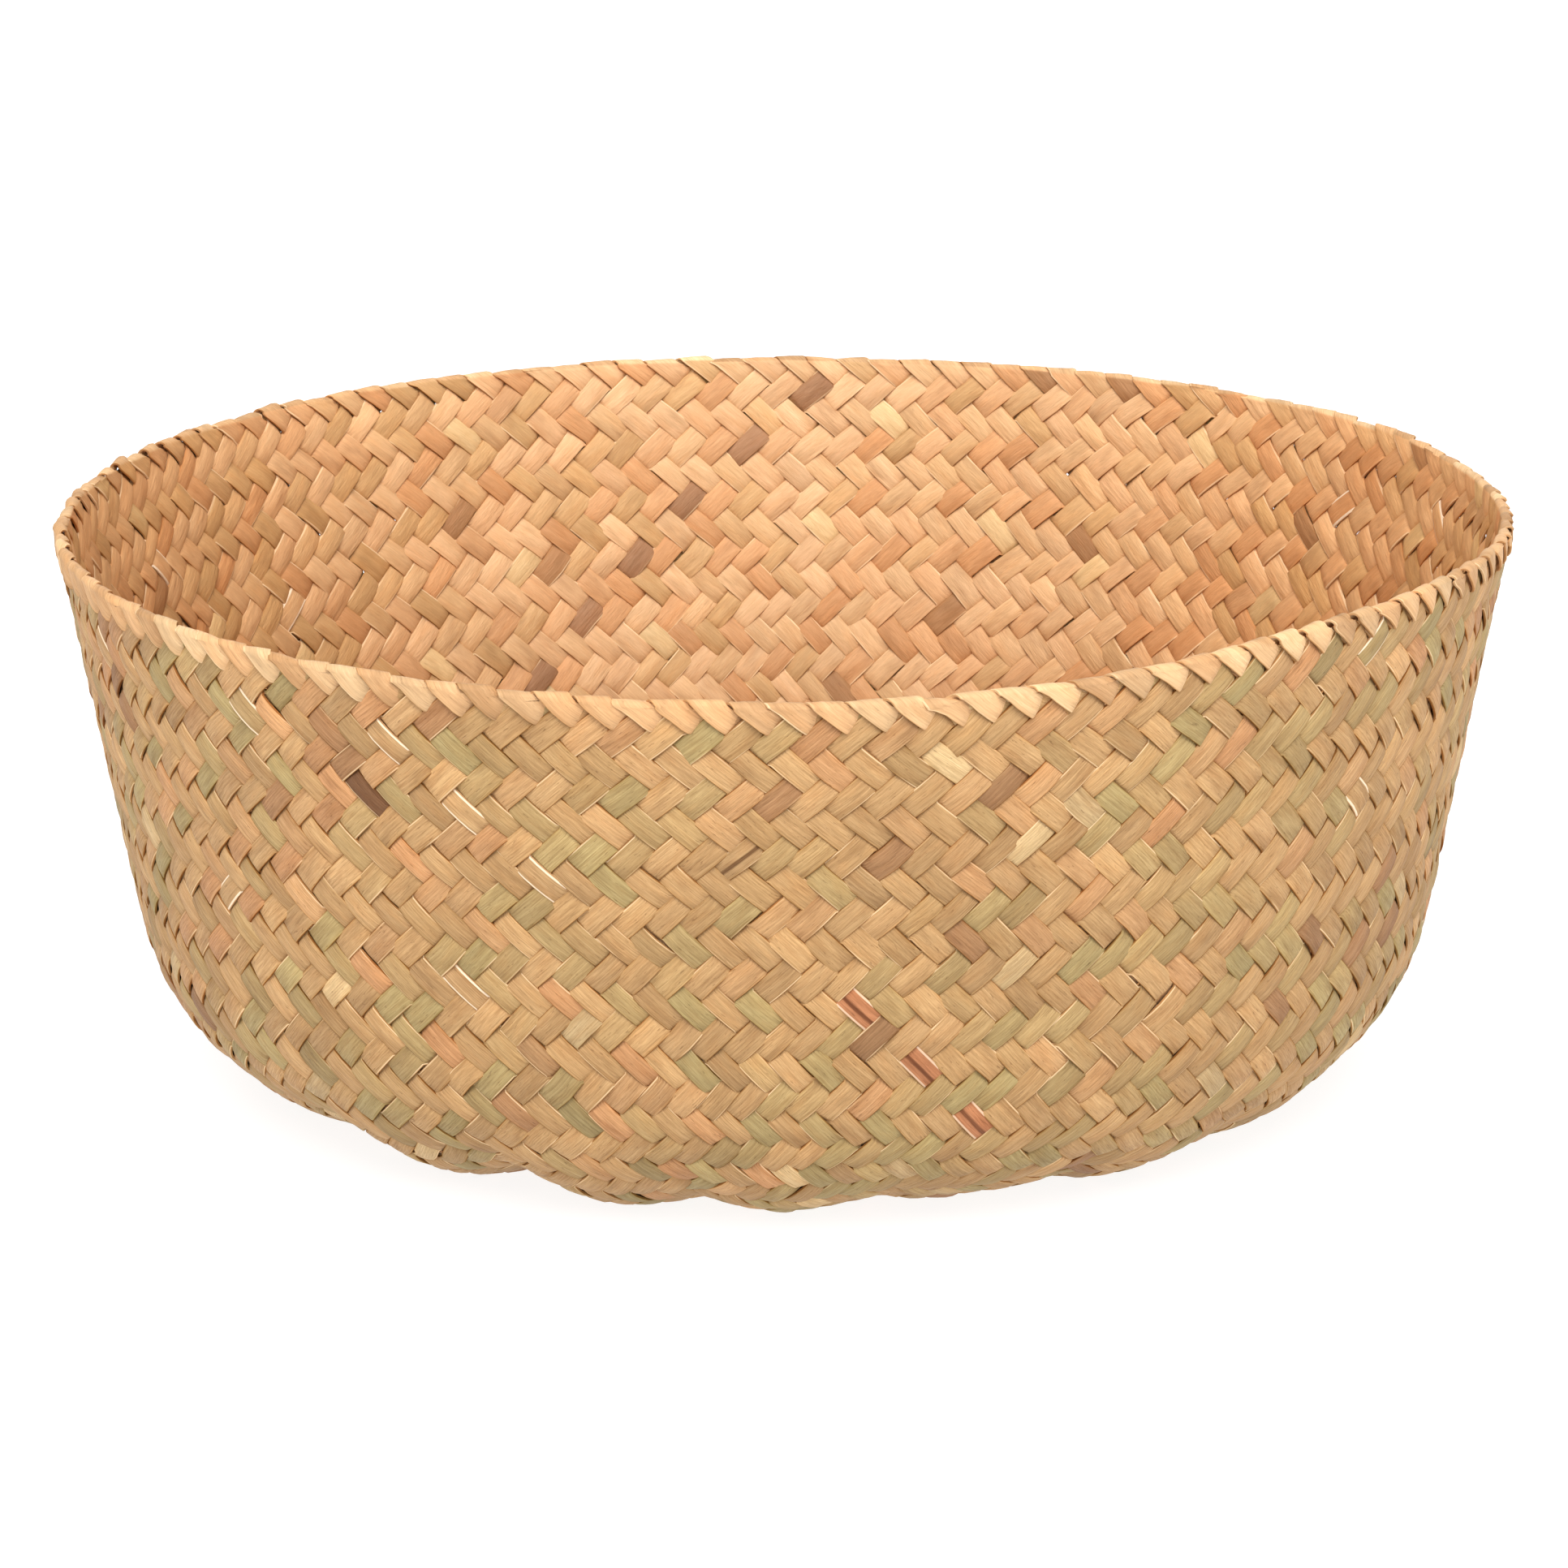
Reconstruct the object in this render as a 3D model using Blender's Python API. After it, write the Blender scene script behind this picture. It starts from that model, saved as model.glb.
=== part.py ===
"""A round, wide, open belly basket plaited from flat seagrass strands.

It stands on the floor at z = 0 with its middle on the Z axis, and -Y is its front.
Three stages of one plaiting job are modelled, bottom to top: the flat mat that the work
starts from, the wall that rounds up from the mat and leans outward, and the border, where
the strand ends are folded over the wall's top edge. Lengths are in metres.
"""

import math

import bmesh
import bpy
from mathutils import Matrix

# Overall shape: the outer face of the wall, from the floor up
HEIGHT = 0.155
WALL_TOP_RADIUS = 0.1985
BELLY_RADIUS = 0.1792
BELLY_HEIGHT = 0.052
BASE_RADIUS = 0.1335
WALL_THICKNESS = 0.0028

# Handles of the belly's curve, as shares of its width and its height
BELLY_LOW_HANDLE_SHARES = (0.46, 0.105)
BELLY_HIGH_HANDLE_SHARES = (0.88, 0.41)

# Lobes round the edge of the base, which the basket stands on
LOBE_COUNT = 19
LOBE_DEPTH = 0.0042
LOBE_HEIGHT = 0.034
LOBE_REACH = 0.018
LOBE_TURN = math.radians(1.0)

# The flat mat ends where the lobes begin
MAT_RADIUS = BASE_RADIUS - LOBE_REACH

# The rim isn't level: it rises in two places, each with its size, place and half width
FRONT_RISE = 0.0065
FRONT_RISE_AZIMUTH = math.radians(54.0)
FRONT_RISE_REACH = math.radians(54.0)
BACK_RISE = 0.0018
BACK_RISE_AZIMUTH = math.radians(118.0)
BACK_RISE_REACH = math.radians(50.0)

# Border: every strand of one direction comes up inside, bends over the edge and runs down
BORDER_STRANDS = 128
BORDER_THICKNESS = 0.0013
BORDER_OUTER_LEG = 0.0090
BORDER_INNER_LEG = 0.0062
BORDER_SHOULDER = 0.0012
BORDER_SLANT = math.radians(47.0)
GROOVE_THICKNESS_SHARE = 0.55

# Running fit between pieces that touch on the real basket
SEAT_GAP = 0.0003

# Mesh resolution
WALL_COLUMNS = 6 * LOBE_COUNT
FLAT_STEPS = 2
BELLY_STEPS = 7
TAPER_STEPS = 4
FOLD_STEPS = 4
STRAND_COLUMN_SHARES = (0.0, 0.22, 0.78)
STRAND_RIDGES = (False, True, True)
SHARP_ANGLE = math.radians(50.0)

# Colours of the dried seagrass
MAT_COLOUR = (0.46, 0.33, 0.16, 1.0)
WALL_COLOUR = (0.50, 0.38, 0.19, 1.0)
BORDER_COLOUR = (0.62, 0.50, 0.28, 1.0)
STRAND_ROUGHNESS = 0.72


def clear_scene():
    for thing in list(bpy.context.scene.objects):
        bpy.data.objects.remove(thing, do_unlink=True)


def seagrass(name, colour):
    material = bpy.data.materials.new(name)
    material.use_nodes = True
    shader = material.node_tree.nodes["Principled BSDF"]
    shader.inputs["Base Color"].default_value = colour
    shader.inputs["Roughness"].default_value = STRAND_ROUGHNESS
    shader.inputs["Metallic"].default_value = 0.0
    material.diffuse_color = colour
    return material


def smooth_step(value):
    value = min(max(value, 0.0), 1.0)
    return value * value * (3.0 - 2.0 * value)


def bump(azimuth, middle, reach):
    """A smooth hump of height 1 at the middle that ends at its reach on either side."""
    away = (azimuth - middle + math.pi) % (2.0 * math.pi) - math.pi
    if abs(away) >= reach:
        return 0.0
    return 0.5 + 0.5 * math.cos(math.pi * away / reach)


def rim_rise(azimuth):
    front = FRONT_RISE * bump(azimuth, FRONT_RISE_AZIMUTH, FRONT_RISE_REACH)
    back = BACK_RISE * bump(azimuth, BACK_RISE_AZIMUTH, BACK_RISE_REACH)
    return front + back


def lobe_notch(azimuth):
    """How far the edge of the base is lifted: 0 under a lobe, most in the notch beside it."""
    return LOBE_DEPTH * (1.0 - abs(math.cos(0.5 * LOBE_COUNT * (azimuth - LOBE_TURN))))


def belly_point(share):
    """A point on the belly's cubic curve, from the floor to where the straight taper starts."""
    width = BELLY_RADIUS - BASE_RADIUS
    handles = (
        (0.0, 0.0),
        BELLY_LOW_HANDLE_SHARES,
        BELLY_HIGH_HANDLE_SHARES,
        (1.0, 1.0),
    )
    weights = (
        (1.0 - share) ** 3,
        3.0 * share * (1.0 - share) ** 2,
        3.0 * share ** 2 * (1.0 - share),
        share ** 3,
    )
    across = sum(weight * handle[0] for weight, handle in zip(weights, handles))
    up = sum(weight * handle[1] for weight, handle in zip(weights, handles))
    return BASE_RADIUS + width * across, BELLY_HEIGHT * up


def wall_lean():
    """The straight wall's direction, as a unit vector (outward, upward)."""
    out = WALL_TOP_RADIUS - BELLY_RADIUS
    up = HEIGHT - BELLY_HEIGHT
    length = math.hypot(out, up)
    return out / length, up / length


def wall_top():
    """The middle of the wall's top edge, which the border folds over."""
    out, up = wall_lean()
    radius = WALL_TOP_RADIUS - 0.5 * WALL_THICKNESS * up
    height = HEIGHT - (BORDER_THICKNESS + SEAT_GAP) * up
    return radius, height


def wall_outline():
    """The outer face of the wall from the mat's edge to its top, as (radius, height)."""
    flat_step = LOBE_REACH / FLAT_STEPS
    points = [(MAT_RADIUS + flat_step * step, 0.0) for step in range(FLAT_STEPS)]
    points += [belly_point(step / BELLY_STEPS) for step in range(BELLY_STEPS + 1)]
    out, up = wall_lean()
    top_radius, top_height = wall_top()
    top_radius += 0.5 * WALL_THICKNESS * up
    top_height -= 0.5 * WALL_THICKNESS * out
    for step in range(1, TAPER_STEPS + 1):
        share = step / TAPER_STEPS
        radius = BELLY_RADIUS + share * (top_radius - BELLY_RADIUS)
        height = BELLY_HEIGHT + share * (top_height - BELLY_HEIGHT)
        points.append((radius, height))
    return points


def inward_offsets(points, thickness):
    """The same outline moved inward by the wall's thickness, square to the wall."""
    moved = []
    for index, (radius, height) in enumerate(points):
        before = points[max(index - 1, 0)]
        after = points[min(index + 1, len(points) - 1)]
        along = (after[0] - before[0], after[1] - before[1])
        length = math.hypot(*along)
        inward = (-along[1] / length, along[0] / length)
        moved.append((radius + thickness * inward[0], height + thickness * inward[1]))
    return moved


def ring_point(radius, height, azimuth):
    return radius * math.sin(azimuth), -radius * math.cos(azimuth), height


def add_piece(name, mesh, material):
    piece = bpy.data.objects.new(name, mesh)
    bpy.context.scene.collection.objects.link(piece)
    mesh.materials.append(material)
    return piece


def closed_ring(name, columns, material):
    """A closed solid ring through columns of points; each column is a closed section."""
    model = bmesh.new()
    rows = [[model.verts.new(point) for point in column] for column in columns]
    for here, there in zip(rows, rows[1:] + rows[:1]):
        for index in range(len(here)):
            following = (index + 1) % len(here)
            model.faces.new((here[index], there[index], there[following], here[following]))
    bmesh.ops.recalc_face_normals(model, faces=model.faces)
    mesh = bpy.data.meshes.new(name)
    model.to_mesh(mesh)
    model.free()
    mesh.shade_smooth()
    mesh.set_sharp_from_angle(angle=SHARP_ANGLE)
    return add_piece(name, mesh, material)


def build_base_mat():
    """The flat plaited mat the basket is started from."""
    model = bmesh.new()
    bmesh.ops.create_cone(
        model,
        cap_ends=True,
        segments=WALL_COLUMNS,
        radius1=MAT_RADIUS - SEAT_GAP,
        radius2=MAT_RADIUS - SEAT_GAP,
        depth=WALL_THICKNESS,
    )
    turn = Matrix.Rotation(LOBE_TURN, 3, "Z")
    bmesh.ops.rotate(model, verts=model.verts, matrix=turn, cent=(0.0, 0.0, 0.0))
    bmesh.ops.translate(model, verts=model.verts, vec=(0.0, 0.0, 0.5 * WALL_THICKNESS))
    mesh = bpy.data.meshes.new("base_mat")
    model.to_mesh(mesh)
    model.free()
    mesh.shade_smooth()
    mesh.set_sharp_from_angle(angle=SHARP_ANGLE)
    return add_piece("base_mat", mesh, seagrass("mat_seagrass", MAT_COLOUR))


def wall_lift(radius, height, azimuth):
    """How far a point of the outer outline is raised by the lobes and by the rim's rise."""
    start = smooth_step((radius - MAT_RADIUS) / LOBE_REACH)
    end = 1.0 - smooth_step(height / LOBE_HEIGHT)
    upper = smooth_step((height - BELLY_HEIGHT) / (HEIGHT - BELLY_HEIGHT))
    return lobe_notch(azimuth) * start * end + rim_rise(azimuth) * upper


def build_belly_wall():
    """The plaited wall: the lobed edge of the base, the rounded belly and the straight taper."""
    outer = wall_outline()
    inner = inward_offsets(outer, WALL_THICKNESS)
    columns = []
    for index in range(WALL_COLUMNS):
        azimuth = LOBE_TURN + 2.0 * math.pi * index / WALL_COLUMNS
        lifts = [wall_lift(radius, height, azimuth) for radius, height in outer]
        outside = [
            ring_point(radius, height + lift, azimuth)
            for (radius, height), lift in zip(outer, lifts)
        ]
        inside = [
            ring_point(radius, height + lift, azimuth)
            for (radius, height), lift in zip(inner, lifts)
        ]
        columns.append(outside + inside[::-1])
    return closed_ring("belly_wall", columns, seagrass("wall_seagrass", WALL_COLOUR))


def fold_outline(thickness):
    """The strand's outer face from its inner foot, over the wall's edge, to its outer foot.

    Points are (outward, upward) from the middle of the wall's top edge, in the wall's lean.
    """
    seat = 0.5 * WALL_THICKNESS + SEAT_GAP
    half_width = seat + thickness
    fold_height = BORDER_SHOULDER + SEAT_GAP + thickness
    points = [(-half_width, -BORDER_INNER_LEG)]
    for step in range(FOLD_STEPS + 1):
        angle = math.pi * step / FOLD_STEPS
        across = -half_width * math.cos(angle)
        points.append((across, fold_height * math.sin(angle) - BORDER_SHOULDER))
    points.append((half_width, -BORDER_OUTER_LEG))
    return points


def seat_outline():
    """The slot under the fold that the wall's top edge sits in, from outer to inner foot."""
    seat = 0.5 * WALL_THICKNESS + SEAT_GAP
    return [
        (seat, -BORDER_OUTER_LEG),
        (seat, SEAT_GAP),
        (-seat, SEAT_GAP),
        (-seat, -BORDER_INNER_LEG),
    ]


def lengths_along(points):
    """The distance along a run of points, at each point."""
    lengths = [0.0]
    for before, after in zip(points, points[1:]):
        lengths.append(lengths[-1] + math.dist(before, after))
    return lengths


def build_rim_border():
    """The folded strand ends, side by side and slanted, with a groove between neighbours."""
    lean_out, lean_up = wall_lean()
    top_radius, top_height = wall_top()
    ridge = fold_outline(BORDER_THICKNESS)
    groove = fold_outline(BORDER_THICKNESS * GROOVE_THICKNESS_SHARE)
    seat = seat_outline()
    fold_lengths = lengths_along(ridge)
    seat_lengths = lengths_along(seat)
    slant_per_length = math.tan(BORDER_SLANT) / WALL_TOP_RADIUS
    fold_turns = [length * slant_per_length for length in fold_lengths]
    seat_turns = [
        fold_turns[-1] * (1.0 - length / seat_lengths[-1]) for length in seat_lengths
    ]
    columns = []
    for strand in range(BORDER_STRANDS):
        for share, is_ridge in zip(STRAND_COLUMN_SHARES, STRAND_RIDGES):
            start = 2.0 * math.pi * (strand + share) / BORDER_STRANDS
            section = list(zip(ridge if is_ridge else groove, fold_turns))
            section += zip(seat, seat_turns)
            column = []
            for (outward, upward), turn in section:
                azimuth = start + turn
                radius = top_radius + outward * lean_up + upward * lean_out
                height = top_height + upward * lean_up - outward * lean_out
                column.append(ring_point(radius, height + rim_rise(azimuth), azimuth))
            columns.append(column)
    return closed_ring("rim_border", columns, seagrass("border_seagrass", BORDER_COLOUR))


def main():
    clear_scene()
    build_base_mat()
    build_belly_wall()
    build_rim_border()


main()
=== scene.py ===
"""A plaited seagrass belly basket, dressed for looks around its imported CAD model.

The basket is built as it is made: 128 flat strands cross over two and under two, from a
square mat in the base, up the belly and the wall. One end of each strand folds over the rim
and runs down outside, and its other end stops under the crossing strands beside those folds.

A place in the plaiting is given on a square lattice: strand numbers X and Y, both counted
from the middle of the base. (|X| + |Y|) / 2 counts rows outward from the middle, and
pitches run round each row. Seen from outside, a strand that climbs rises to the right, and
the strand it crosses falls to the right. Lengths are in metres.
"""

import math

import bpy
import numpy as np
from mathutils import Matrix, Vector


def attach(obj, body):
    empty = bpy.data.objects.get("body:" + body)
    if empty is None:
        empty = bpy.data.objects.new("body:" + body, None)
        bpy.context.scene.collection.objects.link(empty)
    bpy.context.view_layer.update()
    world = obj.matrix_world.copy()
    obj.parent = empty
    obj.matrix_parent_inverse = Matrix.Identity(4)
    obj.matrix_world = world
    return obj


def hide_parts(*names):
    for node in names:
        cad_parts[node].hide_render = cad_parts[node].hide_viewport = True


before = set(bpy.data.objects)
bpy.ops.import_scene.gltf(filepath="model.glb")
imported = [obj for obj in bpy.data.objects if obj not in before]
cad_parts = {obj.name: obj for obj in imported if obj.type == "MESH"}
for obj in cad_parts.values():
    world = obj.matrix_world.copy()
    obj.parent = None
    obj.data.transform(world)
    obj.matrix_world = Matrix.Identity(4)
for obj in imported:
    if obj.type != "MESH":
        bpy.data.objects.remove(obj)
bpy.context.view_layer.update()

BODY = "root"

# Outer face of the wall, as the CAD model has it
HEIGHT = 0.155
WALL_TOP_RADIUS = 0.1985
BELLY_RADIUS = 0.1792
BELLY_HEIGHT = 0.052
BASE_RADIUS = 0.1335
WALL_THICKNESS = 0.0028
BELLY_LOW_HANDLE_SHARES = (0.46, 0.105)
BELLY_HIGH_HANDLE_SHARES = (0.88, 0.41)
LOBE_COUNT = 19
LOBE_DEPTH = 0.0042
LOBE_HEIGHT = 0.034
LOBE_REACH = 0.018
LOBE_TURN = math.radians(1.0)
# Places where the lower edge is higher: azimuth and reach in degrees, and lift
HIGHER_LOBES = (
    (-53.0, 12.0, 0.0036), (-29.5, 11.0, 0.0028), (5.0, 7.0, 0.0010), (20.0, 10.0, 0.0024),
)
FRONT_RISE = 0.0065
FRONT_RISE_AZIMUTH = math.radians(54.0)
FRONT_RISE_REACH = math.radians(54.0)
BACK_RISE = 0.0018
BACK_RISE_AZIMUTH = math.radians(118.0)
BACK_RISE_REACH = math.radians(50.0)
BORDER_THICKNESS = 0.0013
SEAT_GAP = 0.0003

# Points along the wall's profile, which runs on past its top and climbs steadily from its
# climbing point. The wall's directions are found from points a side step or side turn away
FLAT_POINTS = 80
BELLY_POINTS = 120
TAPER_POINTS = 120
PAST_TOP_SHARE = 1.1
CLIMBING_POINT = 150
SIDE_STEP = 0.0006
SIDE_TURN = 0.004

# Plaiting
PITCHES = 128
STRANDS_EACH_WAY = 64
MAT_ROWS = 16
STEPS_PER_ROW = 10
SLOPE_LIMIT = 0.88
FOLD_SHIFT = 0.4
RIM_ROW = 0.5 * (67.0 - FOLD_SHIFT)
STRAND_SPACING = 0.0062
STRAND_THICKNESS = 0.00115
LAYER_HEIGHT = 0.00074
CROWD = 0.035
CROWD_ROWS = 15.0
# How a strand goes from one side of the wall to the other between two crossings, as pairs of
# share of the way and height in layers, and how high the middle of a float stands
FLOAT_STEPS = ((0.0, 1.3), (0.34, 0.95), (0.46, 0.30), (0.54, -0.30), (0.66, -0.95), (1.0, -1.3))
FLOAT_ARCH = 1.45
# Round the strand's section, in half widths across it and thicknesses off its middle
SECTION = (
    (-1.0, -0.20), (-1.0, 0.20), (-0.86, 0.38), (0.0, 0.54), (0.86, 0.38),
    (1.0, 0.20), (1.0, -0.20), (0.86, -0.38), (0.0, -0.54), (-0.86, -0.38),
)

# Folded ends over the rim
FOLD_STEPS = 9
FOLD_DEPTH_SHARE = 1.35
WRAP_HEIGHT = 0.00105
# Down the outside: rows below the rim, height, thickness and skew, as shares
WRAP_STEPS = (
    (0.08, 1.1, 1.0, 0.76), (0.20, 1.25, 1.0, 0.40), (0.34, 1.25, 1.0, 0.0), (0.46, 0.98, 1.0, 0.0),
    (0.53, 0.38, 0.8, 0.0), (0.58, 0.05, 0.6, 0.0), (0.68, -0.1, 0.5, 0.0), (0.95, -0.1, 0.5, 0.0),
)
DIVE_ROW = 32.75
DIVE_ROWS = 0.25
SKEW_START_ROW = 32.85
SKEW_END_ROW = 33.2
LEAN_LIMIT = 1.5
HIDDEN_END_ROWS = 0.10
PRESSED_SHARE = 0.5

# How much the strands wander from their places, first where wide ones push narrow ones aside
PUSH = 0.13
PUSH_SPACING = 2.56
PUSH_ROWS = 4.0
WANDER_REACH = 80.0
WANDER_SPACING = 3.0
SIDE_WANDER = 0.055
HEIGHT_WANDER = 0.00008
WRAP_WANDER = 0.0001
FOLD_WANDER = 0.00022
FOLD_WANDER_LIMIT = 0.0004
WIDTH_SHARE = 1.07
WIDTH_WANDER = 0.035
WIDTH_SPACING = 4.0
STRAND_WIDTH_WANDER = 0.03
TURN_WIDTH_SHARE = 0.22
WIDTH_LIMITS = (1.0, 1.13)
ROOM_LIMITS = (0.86, 1.32)
MAT_ROOM_LIMITS = (0.0, 1.0)
BESIDE = 0.48
TURNING_HEIGHT = 0.5
WRAP_WIDTH_SHARE = 1.04
FLOAT_TILT = math.radians(2.6)
SHINGLE_TILT = math.radians(3.5)
WRAP_TILT = math.radians(4.5)
FOLD_TILT = math.radians(7.0)

SEED = 20831


def smooth_step(value):
    value = np.clip(value, 0.0, 1.0)
    return value * value * (3.0 - 2.0 * value)


# The wall's shape

def belly_curve(steps):
    share = np.linspace(0.0, 1.0, steps)[:, None]
    handles = np.array(
        [(0.0, 0.0), BELLY_LOW_HANDLE_SHARES, BELLY_HIGH_HANDLE_SHARES, (1.0, 1.0)]
    )
    weights = np.hstack(
        [(1 - share) ** 3, 3 * share * (1 - share) ** 2, 3 * share ** 2 * (1 - share), share ** 3]
    )
    points = weights @ handles
    width = BELLY_RADIUS - BASE_RADIUS
    return np.column_stack((BASE_RADIUS + width * points[:, 0], BELLY_HEIGHT * points[:, 1]))


def middle_profile():
    """The middle of the wall's thickness from the base's middle up, as (arc, radius, height).

    It runs on straight past the wall's top edge, so that folds can be placed above it.
    """
    lean = np.array((WALL_TOP_RADIUS - BELLY_RADIUS, HEIGHT - BELLY_HEIGHT))
    lean /= np.linalg.norm(lean)
    reach = np.linspace(0.0, BASE_RADIUS, FLAT_POINTS)[:-1]
    flat = np.column_stack((reach, np.zeros_like(reach)))
    belly = belly_curve(BELLY_POINTS)
    taper_length = (HEIGHT - BELLY_HEIGHT) / lean[1]
    climb = np.linspace(0.0, PAST_TOP_SHARE * taper_length, TAPER_POINTS)[1:, None]
    taper = belly[-1] + lean * climb
    outer = np.vstack((flat, belly, taper))
    along = np.gradient(outer, axis=0)
    along /= np.linalg.norm(along, axis=1)[:, None]
    inward = np.column_stack((-along[:, 1], along[:, 0]))
    inward[0] = (0.0, 1.0)
    middle = outer + 0.5 * WALL_THICKNESS * inward
    middle[:, 0] = np.maximum(middle[:, 0], 0.0)
    steps = np.linalg.norm(np.diff(middle, axis=0), axis=1)
    return np.concatenate(([0.0], np.cumsum(steps))), middle[:, 0], middle[:, 1], lean


ARC, ARC_RADIUS, ARC_HEIGHT, LEAN = middle_profile()
TOP_HEIGHT = HEIGHT - (BORDER_THICKNESS + SEAT_GAP) * LEAN[1]
TOP_ARC = float(np.interp(TOP_HEIGHT, ARC_HEIGHT[CLIMBING_POINT:], ARC[CLIMBING_POINT:]))


def bump(azimuth, middle, reach):
    away = (azimuth - middle + math.pi) % (2.0 * math.pi) - math.pi
    return np.where(np.abs(away) < reach, 0.5 + 0.5 * np.cos(math.pi * away / reach), 0.0)


def wall_lift(radius, height, azimuth):
    """The lobes of the base and the rises of the rim."""
    notch = LOBE_DEPTH * (1.0 - np.abs(np.cos(0.5 * LOBE_COUNT * (azimuth - LOBE_TURN))))
    for middle, reach, lift in HIGHER_LOBES:
        notch = notch + lift * bump(azimuth, math.radians(middle), math.radians(reach))
    start = smooth_step((radius - BASE_RADIUS + LOBE_REACH) / LOBE_REACH)
    end = 1.0 - smooth_step(height / LOBE_HEIGHT)
    upper = smooth_step((height - BELLY_HEIGHT) / (HEIGHT - BELLY_HEIGHT))
    rise = FRONT_RISE * bump(azimuth, FRONT_RISE_AZIMUTH, FRONT_RISE_REACH)
    rise = rise + BACK_RISE * bump(azimuth, BACK_RISE_AZIMUTH, BACK_RISE_REACH)
    return notch * start * end + rise * upper


def place(arc, azimuth):
    """A point of the wall's middle surface."""
    radius = np.interp(arc, ARC, ARC_RADIUS)
    height = np.interp(arc, ARC, ARC_HEIGHT)
    height = height + wall_lift(radius, height, azimuth)
    return np.stack((radius * np.sin(azimuth), -radius * np.cos(azimuth), height), axis=-1)


def unit(vectors):
    return vectors / np.maximum(np.linalg.norm(vectors, axis=-1, keepdims=True), 1e-12)


def wall_directions(arc, azimuth):
    """Unit vectors out of the wall, up along it and round it."""
    up = place(arc + SIDE_STEP, azimuth) - place(np.maximum(arc - SIDE_STEP, 0.0), azimuth)
    around = place(arc, azimuth + SIDE_TURN) - place(arc, azimuth - SIDE_TURN)
    flat = np.stack((np.cos(azimuth), np.sin(azimuth), np.zeros_like(azimuth)), axis=-1)
    around = np.where(np.linalg.norm(around, axis=-1, keepdims=True) > 1e-6, around, flat)
    return unit(np.cross(around, up)), unit(up), unit(around)


# The plaiting's lattice

def row_arcs():
    """The arc of each row, worked out from the rim down, where strands lie edge to edge."""
    step = 1.0 / STEPS_PER_ROW
    rows = np.arange(RIM_ROW, MAT_ROWS - 1e-9, -step)
    arcs = [TOP_ARC]
    for _ in rows[1:]:
        pitch = 2.0 * math.pi * np.interp(arcs[-1], ARC, ARC_RADIUS) / PITCHES
        slope = min(STRAND_SPACING / pitch, SLOPE_LIMIT)
        arcs.append(arcs[-1] - step * STRAND_SPACING / math.sqrt(1.0 - slope * slope))
    return rows[::-1], np.array(arcs)[::-1]


ROWS, ROW_ARCS = row_arcs()
MAT_ARC = float(ROW_ARCS[0])
MAT_SPACING = MAT_ARC * math.sqrt(math.pi / (2.0 * (2 * MAT_ROWS) ** 2))
RIM_ROW_ARC = float(ROW_ARCS[-1] - ROW_ARCS[-1 - STEPS_PER_ROW])


def row_arc(row):
    above = np.interp(row, ROWS, ROW_ARCS) + (np.maximum(row, RIM_ROW) - RIM_ROW) * RIM_ROW_ARC
    return np.where(row < MAT_ROWS, MAT_ARC * row / MAT_ROWS, above)


def push(family, label):
    """How far the strands of one direction are shifted across, as a share of a place."""
    knots = np.arange(0.0, PITCHES + 0.5 * PUSH_SPACING, PUSH_SPACING)
    shifts = np.random.default_rng(SEED + PITCHES + family).normal(0.0, PUSH, len(knots) - 1)
    return np.interp(label % PITCHES, knots, np.append(shifts, shifts[0]))


def lattice(x, y):
    """Row, arc and azimuth of a place on the lattice."""
    row = 0.5 * (np.abs(x) + np.abs(y))
    quadrant = np.where(x >= 0, np.where(y >= 0, 0, 3), np.where(y >= 0, 1, 2))
    right = np.where(quadrant % 2 == 0, np.abs(x), np.abs(y))
    left = np.where(quadrant % 2 == 0, np.abs(y), np.abs(x))
    pitches = 0.5 * (left - right)
    ring = np.minimum(np.maximum(row, 1e-6), MAT_ROWS)
    round_azimuth = 0.5 * math.pi * (quadrant + 0.5 * pitches / ring)
    square_arc = MAT_SPACING * np.hypot(x, y)
    square_azimuth = 0.5 * math.pi * quadrant + np.arctan2(left, right) - 0.25 * math.pi
    turn = pitches + 0.25 * PITCHES * quadrant
    rising, falling = push(0, row - turn), push(1, row + turn)
    start = smooth_step((row - MAT_ROWS) / PUSH_ROWS)
    end = smooth_step((RIM_ROW - 1.0 - row) / PUSH_ROWS)
    pushed_row = row + 0.5 * (falling + rising) * start * end
    pushed_turn = 0.5 * (falling - rising) * start * 2.0 * math.pi / PITCHES
    blend = smooth_step(row / MAT_ROWS)
    arc = blend * row_arc(pushed_row) + (1.0 - blend) * square_arc
    azimuth = blend * round_azimuth + (1.0 - blend) * square_azimuth + pushed_turn
    crowd = CROWD * blend * (1.0 - smooth_step((row - MAT_ROWS) / CROWD_ROWS))
    return row, arc, azimuth - crowd * np.sin(4.0 * azimuth)


# One strand, from its hidden end to its folded end

def over(strand, travel):
    """1 where the strand lies outside at a crossing, -1 where it lies inside."""
    crossing = int(round(abs(strand) + abs(travel))) % 4
    return 1.0 if (crossing in (0, 1)) == (travel > 0) else -1.0


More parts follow.
